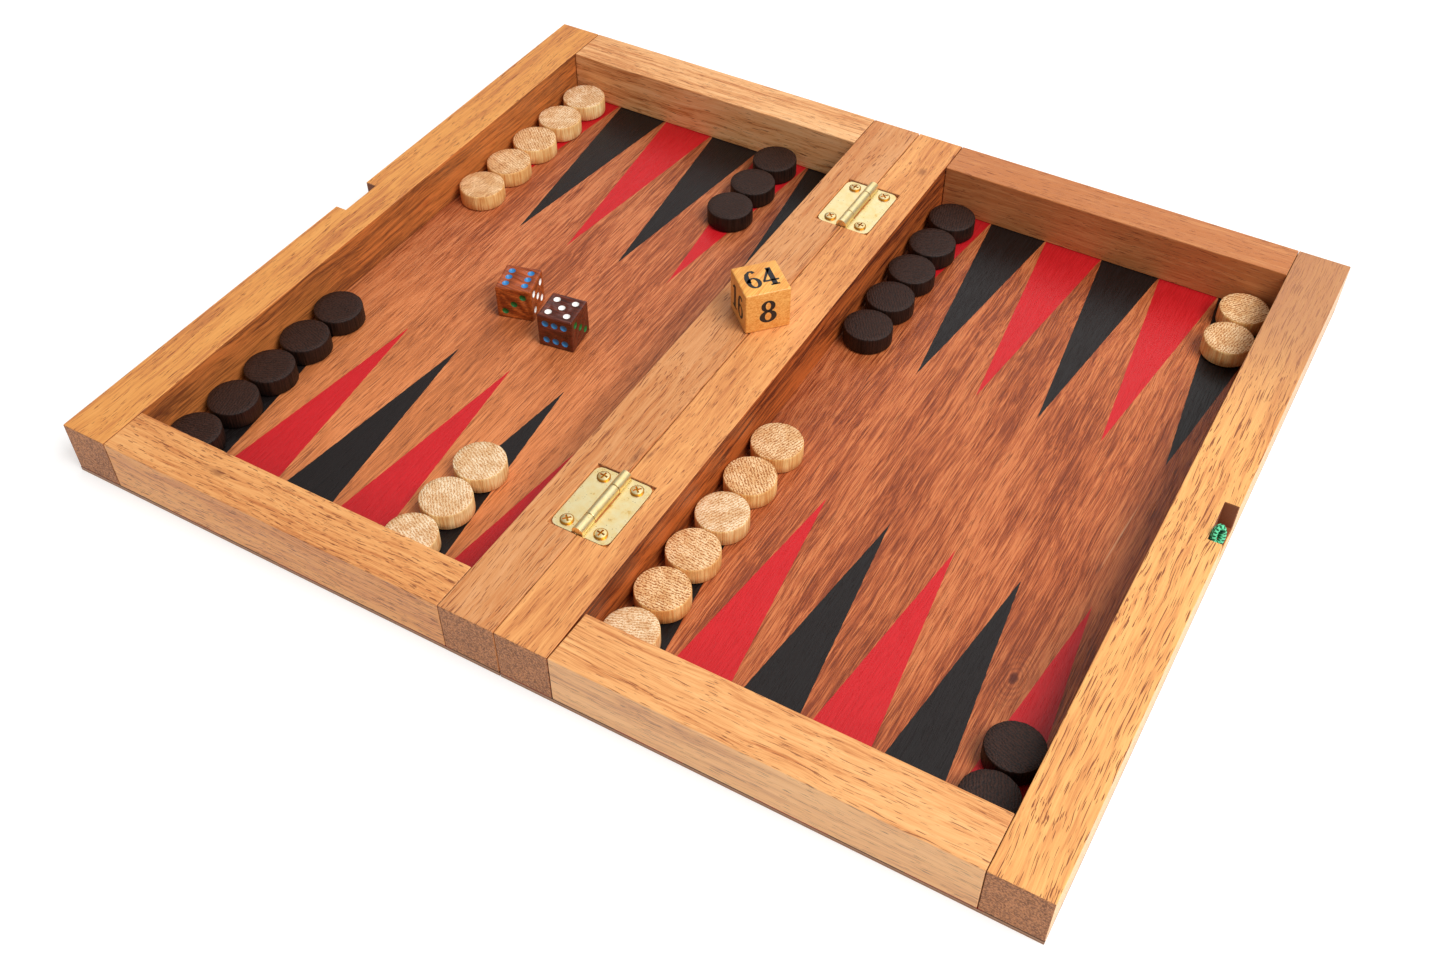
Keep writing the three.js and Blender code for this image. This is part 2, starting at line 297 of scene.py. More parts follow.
def rail_wood(name, offset, grain, inward, shade_and_oil=0.6, tones=(), pores=(), darkness=0.8, faded=0.0,
              painted_side_light=0.0, stains=()):
    """A rail's oiled wood. inward points to the tray's inside, where the wood is darker by soak: partly
    painted shade inside the tray and partly a darker oil finish.

    The pores are dark by darkness, the far end is greyer by faded, and the side that faces away from the
    tray is paler by bleached, which is painted light. Each stain is a place on the rail and its half sizes,
    in millimetres.
    """
    colours = {**RAIL_TONES, **dict(tones)}
    graph = Graph(name)
    wood = Grain(graph, grain, offset)
    tone = wood.tone()
    color = graph.ramp(tone, (0.22, colours["dark"]), (0.5, colours["mid"]), (0.78, colours["light"]))
    pore = wood.pores(**dict(pores))
    color = graph.blend(graph.math("MULTIPLY", pore, darkness), color, colours["pore"])
    place = graph.position()
    if faded:
        far = graph.step(graph.split(place)[1], 25, 95)
        color = graph.blend(graph.math("MULTIPLY", far, faded), color, RAIL_MARKS["faded"])
    smudge = graph.noise(place, (0.35, 0.35, 0.35), detail=3)
    for at, half in stains:
        reach = graph.length(graph.vector("DIVIDE", graph.vector("SUBTRACT", place, at), half))
        reach = graph.math("MULTIPLY_ADD", smudge, 1.1, reach)
        stained = graph.math("MULTIPLY", graph.step(reach, 1.45, 0.5), 0.6)
        color = graph.blend(stained, color, RAIL_MARKS["stain"])
    speckle = graph.noise(graph.position(offset), (1.9, 1.9, 1.9), detail=3, roughness=0.7)
    speckle = graph.math("MULTIPLY_ADD", wood.figure, 0.05, speckle)
    end = graph.ramp(speckle, (0.4, colours["end_dark"]), (0.62, colours["end_light"]))
    end_face = wood.end_face()
    color = graph.blend(end_face, color, end)
    facing = graph.dot(graph.normal(), inward)
    inner = graph.step(facing, 0.5, 0.8)
    outer = graph.step(facing, -0.5, -0.8)
    # Painted light: faces turned away from the tray are made paler by bleached.
    color = graph.blend(graph.math("MULTIPLY", outer, painted_side_light), color, RAIL_MARKS["painted_side_light"])
    # Partly painted shade, partly darker oil: faces turned to the tray's inside are darkened by soak.
    shaded_and_oiled = graph.ramp(tone, (0.3, RAIL_MARKS["shade_and_oil_dark"]), (0.68, RAIL_MARKS["shade_and_oil_light"]))
    color = graph.blend(graph.math("MULTIPLY", inner, shade_and_oil), color, shaded_and_oiled)
    # Partly raw sawn wood, partly painted shade: the notch faces are darkened.
    color = graph.blend(notch_sawn_and_shaded(graph), color, RAIL_MARKS["sawn"])
    roughness = graph.math("MULTIPLY_ADD", wood.fibres, 0.25, 0.36)
    roughness = graph.math("MULTIPLY_ADD", end_face, 0.15, roughness)
    height = graph.math("MULTIPLY_ADD", pore, -0.8, wood.fibres)
    return graph.surface(color, roughness, height, 0.04, Specular_IOR_Level=0.4)


def notch_sawn_and_shaded(graph):
    """1 on the raw faces of the finger notches in the middle of the outer rails, which are darkened partly
    as raw sawn wood and partly as painted shade in the notch.
    """
    x, y, z = graph.split(graph.position())
    in_length = graph.step(graph.math("ABSOLUTE", y), NOTCH["half_length"] + 0.05, NOTCH["half_length"])
    aside = graph.math("ABSOLUTE", x)
    in_depth = graph.step(aside, NOTCH["wall"] - 0.05, NOTCH["wall"])
    off_face = graph.step(aside, NOTCH["mouth"] + 0.2, NOTCH["mouth"])
    below_rim = graph.step(z, RIM / MM - 0.3, RIM / MM - 0.6)
    place = graph.math("MULTIPLY", in_length, in_depth)
    return graph.math("MULTIPLY", place, graph.math("MULTIPLY", off_face, below_rim))


# The painted points in millimetres: base and tip are how far a point's two ends are from y = 0.
POINT = {"pitch": 20.0, "centre": 75.2, "base": 112.5, "tip": 30.5, "half_width": 9.7}
POINTS_ABREAST = 6
PAINT = {"red": srgb(206, 28, 36), "black": srgb(25, 18, 17)}
PIN_KNOT = {"x": 116, "y": -63}
SCRATCH = {"x": 123.2, "y": -3, "half": 19, "lean": 0.05}
PLY = 0.75


def floor_wood(name, side, offset):
    """The playing surface: fine brown veneer with twelve painted points, and a layered edge."""
    graph = Graph(name)
    wood = Grain(graph, Y, offset, waviness=0.5, fineness=1.35)
    place = graph.position()
    x, y, z = graph.split(place)
    tone = wood.tone(streaks=0.35, fibres=0.65, figure=0.35)
    color = graph.ramp(
        tone, (0.27, srgb(138, 64, 32)), (0.5, srgb(188, 100, 56)), (0.73, srgb(218, 133, 84)))
    # Painted light and shade across the two floors.
    color = with_painted_light_drift(graph, color, y, side)
    pore = wood.pores(width=0.26, length=9, limit=0.62)
    color = graph.blend(graph.math("MULTIPLY", pore, 0.55), color, srgb(96, 42, 22))
    if side > 0:
        color = with_knot(graph, color, place)
        color = with_scratch(graph, color, x, y)

    # Which point this is: index counts the points of one side from left to right.
    first = side * POINT["centre"] - POINTS_ABREAST / 2 * POINT["pitch"]
    steps = graph.math("DIVIDE", graph.math("SUBTRACT", x, first), POINT["pitch"])
    index = graph.math("FLOOR", steps)
    from_axis = graph.math("ABSOLUTE", graph.math("SUBTRACT", graph.math("FRACT", steps), 0.5))
    from_axis = graph.math("MULTIPLY", from_axis, POINT["pitch"])
    run = graph.math("SUBTRACT", graph.math("ABSOLUTE", y), POINT["tip"])
    half = graph.math("MULTIPLY", run, POINT["half_width"] / (POINT["base"] - POINT["tip"]))
    ragged = graph.noise(place, (1.5, 0.5, 1), detail=2)
    half = graph.math("ADD", half, graph.math("MULTIPLY_ADD", ragged, 0.36, -0.18))
    inside = graph.step(graph.math("SUBTRACT", half, from_axis), -0.06, 0.06)
    up = graph.step(graph.split(graph.normal())[2], 0.4, 0.6)
    inside = graph.math("MULTIPLY", inside, up)
    far_side = graph.math("GREATER_THAN", y, 0)
    odd = graph.math("MODULO", graph.math("ADD", index, far_side), 2)
    red = graph.math("GREATER_THAN", graph.math("ABSOLUTE", odd), 0.5)
    paint = graph.blend(red, PAINT["black"], PAINT["red"])
    streak = graph.blend(graph.step(wood.fibres, 0.3, 0.62), srgb(0, 0, 0), srgb(190, 170, 165))
    paint = graph.blend(0.22, paint, streak, "SOFT_LIGHT")
    color = graph.blend(inside, color, paint)
    # Painted shade towards the tray's walls.
    color = graph.blend(wall_shade(graph, x, y, side), color, srgb(90, 66, 60), "MULTIPLY")

    ply = graph.math("SINE", graph.math("MULTIPLY", z, math.tau / PLY))
    edge = graph.ramp(ply, (0.3, srgb(134, 90, 62)), (0.8, srgb(196, 146, 104)))
    color = graph.blend(up, edge, color)
    roughness = graph.math("MULTIPLY_ADD", wood.fibres, 0.22, 0.3)
    roughness = graph.math("MULTIPLY_ADD", inside, -0.03, roughness)
    height = graph.math("MULTIPLY_ADD", pore, -0.7, wood.fibres)
    return graph.surface(color, roughness, height, 0.045, Specular_IOR_Level=0.33)


def with_painted_light_drift(graph, color, y, side):
    """Painted light and shade: darkens the right floor a little all over, and takes the left one from pale
    near to dull far off.
    """
    if side > 0:
        return graph.blend(1.0, color, srgb(246, 238, 224), "MULTIPLY")
    near = graph.step(y, 40, -70)
    color = graph.blend(graph.math("MULTIPLY", near, 0.42), color, srgb(232, 146, 82))
    return graph.blend(graph.step(y, 20, 110), color, srgb(228, 223, 219), "MULTIPLY")


def wall_shade(graph, x, y, side):
    """How much painted shade darkens the surface: more so towards the tray's walls, but less at the right
    one's near wall.
    """
    from_middle = graph.math("ABSOLUTE", graph.math("SUBTRACT", x, side * POINT["centre"]))
    beside = graph.step(from_middle, 34, 60)
    ahead = graph.step(graph.math("ABSOLUTE", y), 76, 114)
    if side > 0:
        near_wall = graph.math("LESS_THAN", y, 0)
        ahead = graph.math("MULTIPLY", ahead, graph.math("MULTIPLY_ADD", near_wall, -0.6, 1))
    cloud = graph.noise(graph.position(), (0.06, 0.06, 0.06), detail=3)
    total = graph.math("MULTIPLY_ADD", beside, 0.26, graph.math("MULTIPLY", ahead, 0.3))
    return graph.math("MULTIPLY", total, graph.math("MULTIPLY_ADD", cloud, 1.2, 0.4))


def with_knot(graph, color, place):
    """Adds the pin knot: a dark eye with a few rings around it, drawn out along the grain."""
    moved = graph.vector("SUBTRACT", place, (PIN_KNOT["x"], PIN_KNOT["y"], 0))
    distance = graph.length(graph.vector("MULTIPLY", moved, (1, 0.6, 0)))
    wobble = graph.noise(place, (0.5, 0.5, 0.5))
    distance = graph.math("MULTIPLY_ADD", wobble, 1.2, distance)
    rings = graph.math("SINE", graph.math("MULTIPLY", distance, 5.2))
    near = graph.step(distance, 9.5, 1.5)
    dark = graph.math("MULTIPLY", graph.step(rings, -0.4, 0.9), graph.math("MULTIPLY", near, 0.3))
    dark = graph.math("MULTIPLY_ADD", graph.step(distance, 24, 4), 0.22, dark)
    color = graph.blend(dark, color, srgb(96, 44, 26))
    return graph.blend(graph.step(distance, 2.3, 1.1), color, srgb(90, 38, 22))


def with_scratch(graph, color, x, y):
    """Adds one long pale scratch beside the outer rail."""
    drift = graph.math("MULTIPLY_ADD", y, SCRATCH["lean"], SCRATCH["x"])
    aside = graph.math("ABSOLUTE", graph.math("SUBTRACT", x, drift))
    along_it = graph.math("ABSOLUTE", graph.math("SUBTRACT", y, SCRATCH["y"]))
    seen = graph.math("MULTIPLY", graph.step(aside, 0.32, 0.1), graph.step(along_it, SCRATCH["half"], 4))
    return graph.blend(graph.math("MULTIPLY", seen, 0.75), color, srgb(222, 160, 116))


BAND_PITCH = 0.85


def checker_wood(name, light):
    """End grain of a dowel: wavy bands and flecks. Each mesh's tint and turn make its checker differ."""
    graph = Graph(name)
    tint = graph.attribute("tint")
    turn = graph.attribute("turn")
    wood = Grain(graph, Z, (0, 0, 0), waviness=0.2)
    place = graph.position()
    x, y, _ = graph.split(place)
    across = graph.math("MULTIPLY", x, graph.math("COSINE", turn))
    across = graph.math("MULTIPLY_ADD", y, graph.math("SINE", turn), across)
    bend = graph.noise(place, (0.9, 0.9, 0.1), detail=1)
    bands = graph.math("MULTIPLY_ADD", bend, 9.0, graph.math("MULTIPLY", across, math.tau / BAND_PITCH))
    bands = graph.math("MULTIPLY_ADD", graph.math("SINE", bands), 0.5, 0.5)
    fine = graph.step(graph.noise(place, (2.8, 2.8, 0.2), detail=2), 0.3, 0.7)
    fleck = graph.math("MULTIPLY_ADD", fine, 0.55, graph.math("MULTIPLY", bands, 0.45))
    end_face = wood.end_face()
    if light:
        faint = ((0.1, srgb(196, 140, 90)), (0.45, srgb(232, 190, 142)), (0.7, srgb(248, 224, 188)))
        strong = ((0.2, srgb(168, 110, 66)), (0.45, srgb(234, 190, 142)), (0.7, srgb(252, 230, 194)))
        marked = graph.step(tint, 0.35, 0.9)
        top = graph.blend(marked, graph.ramp(fleck, *faint), graph.ramp(fleck, *strong))
        side = graph.ramp(wood.fibres, (0.1, srgb(232, 178, 114)), (0.8, srgb(254, 226, 166)))
        color = graph.blend(end_face, side, top)
        tinted = graph.blend(graph.step(tint, 0.2, 1.0), srgb(255, 255, 255), srgb(250, 233, 210))
        color = graph.blend(1.0, color, tinted, "MULTIPLY")
        coarse = graph.noise(place, (0.25, 0.25, 0.1), detail=1)
        duller = graph.blend(1.0, color, srgb(240, 226, 210), "MULTIPLY")
        color = graph.blend(graph.step(coarse, 0.62, 0.4), color, duller)
        roughness = 0.62
    else:
        top = graph.ramp(fleck, (0.2, srgb(20, 7, 3)), (0.8, srgb(60, 34, 24)))
        side = graph.ramp(wood.fibres, (0.1, srgb(10, 3, 1)), (0.9, srgb(44, 24, 16)))
        color = graph.blend(end_face, side, top)
        roughness = graph.math("MULTIPLY_ADD", fleck, 0.2, 0.42)
    height = graph.math("MULTIPLY_ADD", wood.fibres, 0.3, fleck)
    return graph.surface(color, roughness, height, 0.11, Specular_IOR_Level=0.3)


def small_wood(name, grain, dark, light, top_shade, roughness):
    """Fine-grained wood of the dice and the doubling cube. top_shade multiplies the top face's colour, as
    painted shade.
    """
    graph = Graph(name)
    wood = Grain(graph, grain, (7, 3, 1), waviness=0.15)
    tone = wood.tone(streaks=0.4, fibres=0.7, figure=0.2)
    color = graph.ramp(tone, (0.2, dark), (0.8, light))
    up = graph.step(graph.split(graph.normal())[2], 0.6, 0.9)
    # Painted shade: the upward face's colour is multiplied by top_shade.
    color = graph.blend(up, color, graph.blend(1.0, color, top_shade, "MULTIPLY"))
    pore = wood.pores(width=0.3, length=3)
    color = graph.blend(graph.math("MULTIPLY", pore, 0.35), color, dark)
    return graph.surface(color, roughness, wood.fibres, 0.03)


def brass(name, dull=0.0, top=None):
    """Pale brass, rougher by dull. Below top, in millimetres, it is painted deeper gold, as shade in a
    screw's recess.
    """
    graph = Graph(name)
    place = graph.position()
    stain = graph.noise(place, (0.35, 0.35, 0.35), detail=5, roughness=0.65)
    scratch = graph.noise(place, (3.2, 0.25, 1.5), detail=3)
    color = graph.ramp(
        stain, (0.28, srgb(232, 186, 104)), (0.38, srgb(254, 228, 162)), (0.6, srgb(255, 238, 186)))
    if top is not None:
        # Painted shade: deeper gold below the screw head's top, as in its recess.
        recess_shade = graph.step(graph.split(place)[2], top - 0.08, top - 0.3)
        color = graph.blend(recess_shade, color, srgb(196, 132, 38))
    speck, chance = graph.cells(place, (1.4, 1.4, 1.4))
    tarnish = graph.math("MULTIPLY", graph.step(speck, 0.3, 0.12), graph.step(chance, 0.8, 0.84))
    color = graph.blend(graph.math("MULTIPLY", tarnish, 0.6), color, srgb(120, 84, 40))
    roughness = graph.math("MULTIPLY_ADD", scratch, 0.15, 0.3 + dull)
    return graph.surface(color, roughness, scratch, 0.02, Metallic=1.0)


def plain_paint(name, color, roughness=0.4):
    """Hand-laid paint or ink, slightly uneven in colour and thickness."""
    graph = Graph(name)
    cloud = graph.noise(graph.position(), (3, 3, 3), detail=2)
    uneven = graph.ramp(cloud, (0.3, srgb(0, 0, 0)), (0.7, srgb(255, 255, 255)))
    shade = graph.blend(0.18, color, uneven, "SOFT_LIGHT")
    return graph.surface(shade, roughness, cloud, 0.02)


def braid(name):
    """Green braid: slanting strands, darker in the gaps between them as painted shade, and a furrow of
    painted shade along each of two sides.
    """
    graph = Graph(name)
    uv = graph.add("ShaderNodeUVMap", uv_map="braid").outputs[0]
    turn, run, _ = graph.split(uv)
    slant_a = graph.math("SINE", graph.math("MULTIPLY", graph.math("ADD", turn, run), math.tau))
    slant_b = graph.math("SINE", graph.math("MULTIPLY", graph.math("SUBTRACT", turn, run), math.tau))
    strands = graph.math("MAXIMUM", slant_a, slant_b)
    # Painted shade in the gaps between strands; the strand crowns are lighter.
    color = graph.ramp(
        graph.step(strands, -0.5, 0.9),
        (0.0, srgb(8, 84, 52)), (0.5, srgb(38, 172, 112)), (1.0, srgb(104, 224, 168)))
    flank = graph.math("ABSOLUTE", graph.math("SINE", graph.math("MULTIPLY", turn, math.pi)))
    # Painted shade in a furrow along each of two sides.
    color = graph.blend(graph.step(flank, 0.35, 0.0), color, srgb(6, 70, 44))
    fuzz = graph.noise(graph.position(), (14, 14, 14), detail=2)
    height = graph.math("MULTIPLY_ADD", fuzz, 0.4, strands)
    return graph.surface(color, 0.7, height, 0.12)


# ---------------------------------------------------------------- pieces
def new_piece(name, mesh, node, material):
    """Links a mesh as the piece that stands for a CAD node, on that node's body."""
    piece = bpy.data.objects.new(name, mesh)
    bpy.context.scene.collection.objects.link(piece)
    if not mesh.materials:
        mesh.materials.append(material)
    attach(piece, BODY_OF[node])
    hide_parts(node)
    return piece


def mesh_from(bm, name, smooth_below=None):
    """Turns a bmesh into a mesh, smooth across edges that turn less than smooth_below degrees."""
    if smooth_below:
        limit = math.radians(smooth_below)
        for face in bm.faces:
            face.smooth = True
        for edge in bm.edges:
            edge.smooth = len(edge.link_faces) == 2 and edge.calc_face_angle(0) < limit
    mesh = bpy.data.meshes.new(name)
    bm.to_mesh(mesh)
    bm.free()
    return mesh


MERGE_DISTANCE = 1e-6
SHARP_EDGE = math.radians(40)


def eased_solid(node, name, ease, longer_than=0.0, smooth_below=None):
    """The CAD solid with its flat triangles joined into whole faces and its longer outer edges eased."""
    bm = bmesh.new()
    bm.from_mesh(frame["nodes"][node].data)
    bmesh.ops.remove_doubles(bm, verts=bm.verts, dist=MERGE_DISTANCE)
    bmesh.ops.dissolve_limit(bm, angle_limit=math.radians(1), verts=bm.verts, edges=bm.edges)
    outer = [
        edge for edge in bm.edges
        if len(edge.link_faces) == 2 and edge.is_convex
        and edge.calc_face_angle(0) > SHARP_EDGE and edge.calc_length() > longer_than
    ]
    if ease > 0:
        bmesh.ops.bevel(
            bm, geom=outer, offset=ease, segments=2, profile=0.5, affect="EDGES", clamp_overlap=True)
    return mesh_from(bm, name, smooth_below)


# How each rail's wood looks. Places and half sizes of stains are in millimetres.
RAILS = {
    "left_rail_outer": {"grain": Y, "inward": (1, 0, 0), "shade_and_oil": 0.75,
                        "tones": {"light": srgb(236, 166, 90), "mid": srgb(226, 152, 78)},
                        "stains": [((-134.3, 17, 9), (2, 8, 2.4))]},
    "left_rail_seam": {"grain": Y, "inward": (-1, 0, 0),
                       "tones": {"light": srgb(222, 158, 104), "mid": srgb(212, 144, 88)},
                       "pores": {"width": 0.28, "length": 8, "limit": 0.64},
                       "stains": [((-1.6, -57, 18.4), (1.6, 7, 2)),
                                  ((-1, 64, 18.4), (1.2, 4, 2))]},
    "left_rail_front": {"grain": X, "inward": (0, 1, 0),
                        "stains": [((-98.5, -119.8, 18.4), (6.5, 2, 2))],
                        "pores": {"width": 0.32, "length": 3.5, "limit": 0.63}},
    "left_rail_rear": {"grain": X, "inward": (0, -1, 0), "shade_and_oil": 0.0,
                       "tones": {"light": srgb(246, 192, 136), "mid": srgb(236, 172, 112)}},
    "right_rail_outer": {"grain": Y, "inward": (-1, 0, 0), "darkness": 0.9,
                         "tones": {"light": srgb(246, 182, 108), "mid": srgb(238, 168, 96),
                                   "dark": srgb(214, 140, 78)},
                         "pores": {"width": 0.3, "length": 9, "limit": 0.62},
                         "faded": 0.75, "painted_side_light": 0.4},
    "right_rail_seam": {"grain": Y, "inward": (1, 0, 0), "shade_and_oil": 1.0,
                        "tones": {"light": srgb(238, 170, 102), "mid": srgb(224, 150, 86)},
                        "stains": [((10.5, 106.5, 18.4), (2.6, 3.4, 2)),
                                   ((1.4, -55, 18.4), (1.2, 5, 2))]},
    "right_rail_front": {"grain": X, "inward": (0, 1, 0),
                         "tones": {"light": srgb(244, 182, 118), "mid": srgb(232, 164, 100)},
                         "painted_side_light": 0.15},
    "right_rail_rear": {"grain": X, "inward": (0, -1, 0), "shade_and_oil": 0.0,
                        "tones": {"light": srgb(208, 138, 84), "mid": srgb(190, 116, 66)}},
}
EASE = {"rail": 0.3 * MM, "floor": 0.1 * MM, "brass": 0.12 * MM, "die": 0.4 * MM, "cube": 0.5 * MM}
# Rail edges shorter than this, such as those round the screw and cord holes, stay as they are.
SHORT_EDGE = 6 * MM
# How far apart in the wood field two neighbouring pieces are, in millimetres, so that no two look alike.
RAIL_STEP = Vector((37, 91, 53))
FLOOR_STEP = Vector((19, 40, 0))


def build_rails():
    for number, (node, look) in enumerate(RAILS.items()):
        material = rail_wood(f"{node}_wood", RAIL_STEP * number, **look)
        mesh = eased_solid(node, f"{node}_eased", EASE["rail"], longer_than=SHORT_EDGE)
        new_piece(f"{node}_eased", mesh, node, material)


def build_floors():
    for side, node in ((-1, "left_floor"), (1, "right_floor")):
        material = floor_wood(f"{node}_wood", side, FLOOR_STEP * side)
        mesh = eased_solid(node, f"{node}_veneered", EASE["floor"])
        new_piece(f"{node}_veneered", mesh, node, material)


def build_hinges():
    bright = brass("hinge_brass")
    dull = brass("pin_brass", dull=0.1)
    head_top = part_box("screw_front_left_near")[1].z / MM
    headed = brass("screw_brass", dull=0.05, top=head_top)
    for node in NODES:
        if node.startswith("hinge_"):
            material = dull if node.endswith("_pin") else bright
            mesh = eased_solid(node, f"{node}_brass", EASE["brass"], smooth_below=32)
            piece = new_piece(f"{node}_brass", mesh, node, material)
            piece.modifiers.new("flat_faces_stay_flat", "WEIGHTED_NORMAL").keep_sharp = True
        if node.startswith("screw_"):
            mesh = eased_solid(node, f"{node}_brass", 0.0, smooth_below=40)
            new_piece(f"{node}_brass", mesh, node, headed)


# ---------------------------------------------------------------- checkers
SIDES = 72
# A slice's outline from its foot to the middle of its top, as shares of its radius and height.
SLICE = [
    (0.9, 0.0), (1.0, 0.12), (1.0, 0.5), (1.0, 0.88),
    (0.99, 0.98), (0.97, 1.0), (0.7, 1.0), (0.35, 1.0),
]
SLICE_INSET = 0.045 * MM
# A slice's top is above this share of its height, and the top's rim is outside this share of its radius.
TOP = 0.9
CHIP = {"turns": 5, "spread": 300, "threshold": 0.25, "depth": 0.315 * MM}
OUT_OF_ROUND = 0.006
SAW_LEAN = 0.012
CHECKER_SEED = 31


def joined_rings(bm, rings):
    """Closes the side between each ring of vertices and the next, and gives back the new faces."""
    count = len(rings[0])
    faces = []
    for lower, upper in zip(rings, rings[1:]):
        for step in range(count):
            after = (step + 1) % count
            faces.append(bm.faces.new((lower[step], lower[after], upper[after], upper[step])))
    bm.faces.new(list(reversed(rings[0])))
    bm.faces.new(rings[-1])
    return faces


def checker_mesh(node, rng):
    """A slice sawn from a dowel: not quite round, with a softened rim that is slightly chipped."""
    low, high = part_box(node)
    centre = (low + high) / 2
    radius = (high.x - low.x) / 2
    height = high.z - low.z
    tilt = Vector((rng.uniform(-1, 1), rng.uniform(-1, 1), 0)) * SAW_LEAN
    lobe = rng.uniform(0, math.tau)
    bm = bmesh.new()
    rings = []
    for share, level in SLICE:
        ring = []
        for step in range(SIDES):
            turn = math.tau * step / SIDES
            away = Vector((math.cos(turn), math.sin(turn), 0))
            roundness = 1 - OUT_OF_ROUND * (1 + math.sin(2 * turn + lobe))
            reach = (radius - SLICE_INSET) * share * roundness
            if level > TOP and share > TOP:
                rough = noise.noise(away * CHIP["turns"] + centre * CHIP["spread"])
                reach -= max(0.0, rough - CHIP["threshold"]) * CHIP["depth"]
            point = centre + away * reach
            point.z = low.z + height * level
            if level > TOP:
                point.z -= abs(tilt.dot(away * reach + tilt.normalized() * radius))
            ring.append(bm.verts.new(point))
        rings.append(ring)
    joined_rings(bm, rings)
    mesh = mesh_from(bm, f"{node}_slice", smooth_below=50)
    for name, value in (("tint", rng.random()), ("turn", rng.uniform(0, math.tau))):
        attribute = mesh.attributes.new(name, "FLOAT", "POINT")
        attribute.data.foreach_set("value", [value] * len(mesh.vertices))
    return mesh


def build_checkers():
    materials = {
        "light": checker_wood("light_checker_endgrain", light=True),
        "dark": checker_wood("dark_checker_endgrain", light=False),
    }
    rng = random.Random(CHECKER_SEED)
    for node in NODES:
        if "_checker_" in node:
            new_piece(f"{node}_slice", checker_mesh(node, rng), node, materials[node.split("_")[0]])


# ---------------------------------------------------------------- dice and doubling cube
def turned_cube(node):
    """Centre, edge and turn about Z of a CAD cube, from its largest upright face."""
    data = frame["nodes"][node].data
    low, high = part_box(node)
    size = high.z - low.z
    upright = [face for face in data.polygons if abs(face.normal.z) < 0.01]
    largest = max(upright, key=lambda face: face.area)
    turn = math.atan2(largest.normal.y, largest.normal.x) % (math.pi / 2)
    return (low + high) / 2, size, turn


def rounded_cube(size, ease):
    """A cube about the origin with rounded edges, as a bmesh."""
    bm = bmesh.new()
    bmesh.ops.create_cube(bm, size=size)
    bmesh.ops.bevel(bm, geom=bm.edges[:], offset=ease, segments=4, profile=0.5, affect="EDGES")
    return bm


# For each number of pips, the places in a three by three layout.
PIPS = {
    1: [(0, 0)],
    2: [(-1, -1), (1, 1)],
    3: [(-1, -1), (0, 0), (1, 1)],
    4: [(-1, -1), (1, -1), (-1, 1), (1, 1)],
    5: [(-1, -1), (1, -1), (0, 0), (-1, 1), (1, 1)],
    6: [(-1, -1), (-1, 0), (-1, 1), (1, -1), (1, 0), (1, 1)],
}
# A face is given by its outward normal; across and up are the directions of its layout.
FACES = {
    "top": (Vector((0, 0, 1)), Vector((1, 0, 0))),
    "bottom": (Vector((0, 0, -1)), Vector((1, 0, 0))),
    "front": (Vector((0, -1, 0)), Vector((1, 0, 0))),
    "back": (Vector((0, 1, 0)), Vector((-1, 0, 0))),
    "right": (Vector((1, 0, 0)), Vector((0, 1, 0))),
    "left": (Vector((-1, 0, 0)), Vector((0, -1, 0))),
}
# Which number each face shows, and whether its layout is turned a quarter.
DICE = {
    "die_left": {"top": (6, False), "bottom": (1, False), "front": (3, False), "back": (4, False),
                 "right": (5, False), "left": (2, False)},
    "die_right": {"top": (5, False), "bottom": (2, False), "front": (6, True), "back": (1, False),
                  "right": (3, True), "left": (4, False)},
}
PIP_COLOURS = {1: "blue", 2: "white", 3: "green", 4: "green", 5: "white", 6: "blue"}
# Each pip is cut by a ball of this radius, whose middle is lifted off the face.
PIP = {"spacing": 3.2 * MM, "ball": 1.35 * MM, "lift": 0.7 * MM}
# How far a carved die's faces lie inside the CAD cube, so it never cuts the floor it rests on.
DIE_CLEARANCE = 0.02 * MM
# Edges that turn by fewer degrees than this are smooth on the dice, the doubling cube and the cord.
SMOOTH_BELOW = 60


def pip_cutter(node, size, paints):
    """The balls that cut a die's pips, each in its pip's paint."""
    balls = bmesh.new()
    colours = sorted(paints)
    for face, (number, quarter) in DICE[node].items():
        normal, across = FACES[face]
        up = normal.cross(across)
        for column, row in PIPS[number]:
            if quarter:
                column, row = -row, column
            at = normal * (size / 2 + PIP["lift"]) + (across * column + up * row) * PIP["spacing"]
            made = bmesh.ops.create_uvsphere(
                balls, u_segments=24, v_segments=16, radius=PIP["ball"], matrix=Matrix.Translation(at))
            for ball_face in {face for vert in made["verts"] for face in vert.link_faces}:
                ball_face.material_index = colours.index(PIP_COLOURS[number])
    cutter = bpy.data.objects.new("pip_cutter", mesh_from(balls, "pip_cutter", SMOOTH_BELOW))
    for colour in colours:
        cutter.data.materials.append(paints[colour])
    return cutter


def die_mesh(node, wood, paints):
    """A wooden die with its pips cut out and painted."""
    centre, size, turn = turned_cube(node)
    blank = rounded_cube(size - 2 * DIE_CLEARANCE, EASE["die"])
    body = bpy.data.objects.new("die_blank", mesh_from(blank, "die_blank", SMOOTH_BELOW))
    body.data.materials.append(wood)
    cutter = pip_cutter(node, size, paints)
    for helper in (body, cutter):
        bpy.context.scene.collection.objects.link(helper)
    cut = body.modifiers.new("pips", "BOOLEAN")
    cut.object = cutter
    cut.operation = "DIFFERENCE"
    cut.solver = "EXACT"
    cut.material_mode = "TRANSFER"
    bpy.context.view_layer.update()
    mesh = bpy.data.meshes.new_from_object(body.evaluated_get(bpy.context.evaluated_depsgraph_get()))
    mesh.name = f"{node}_carved"
    mesh.transform(Matrix.Translation(centre) @ Matrix.Rotation(turn, 4, "Z"))
    for helper in (body, cutter):
        bpy.data.objects.remove(helper)
    return mesh


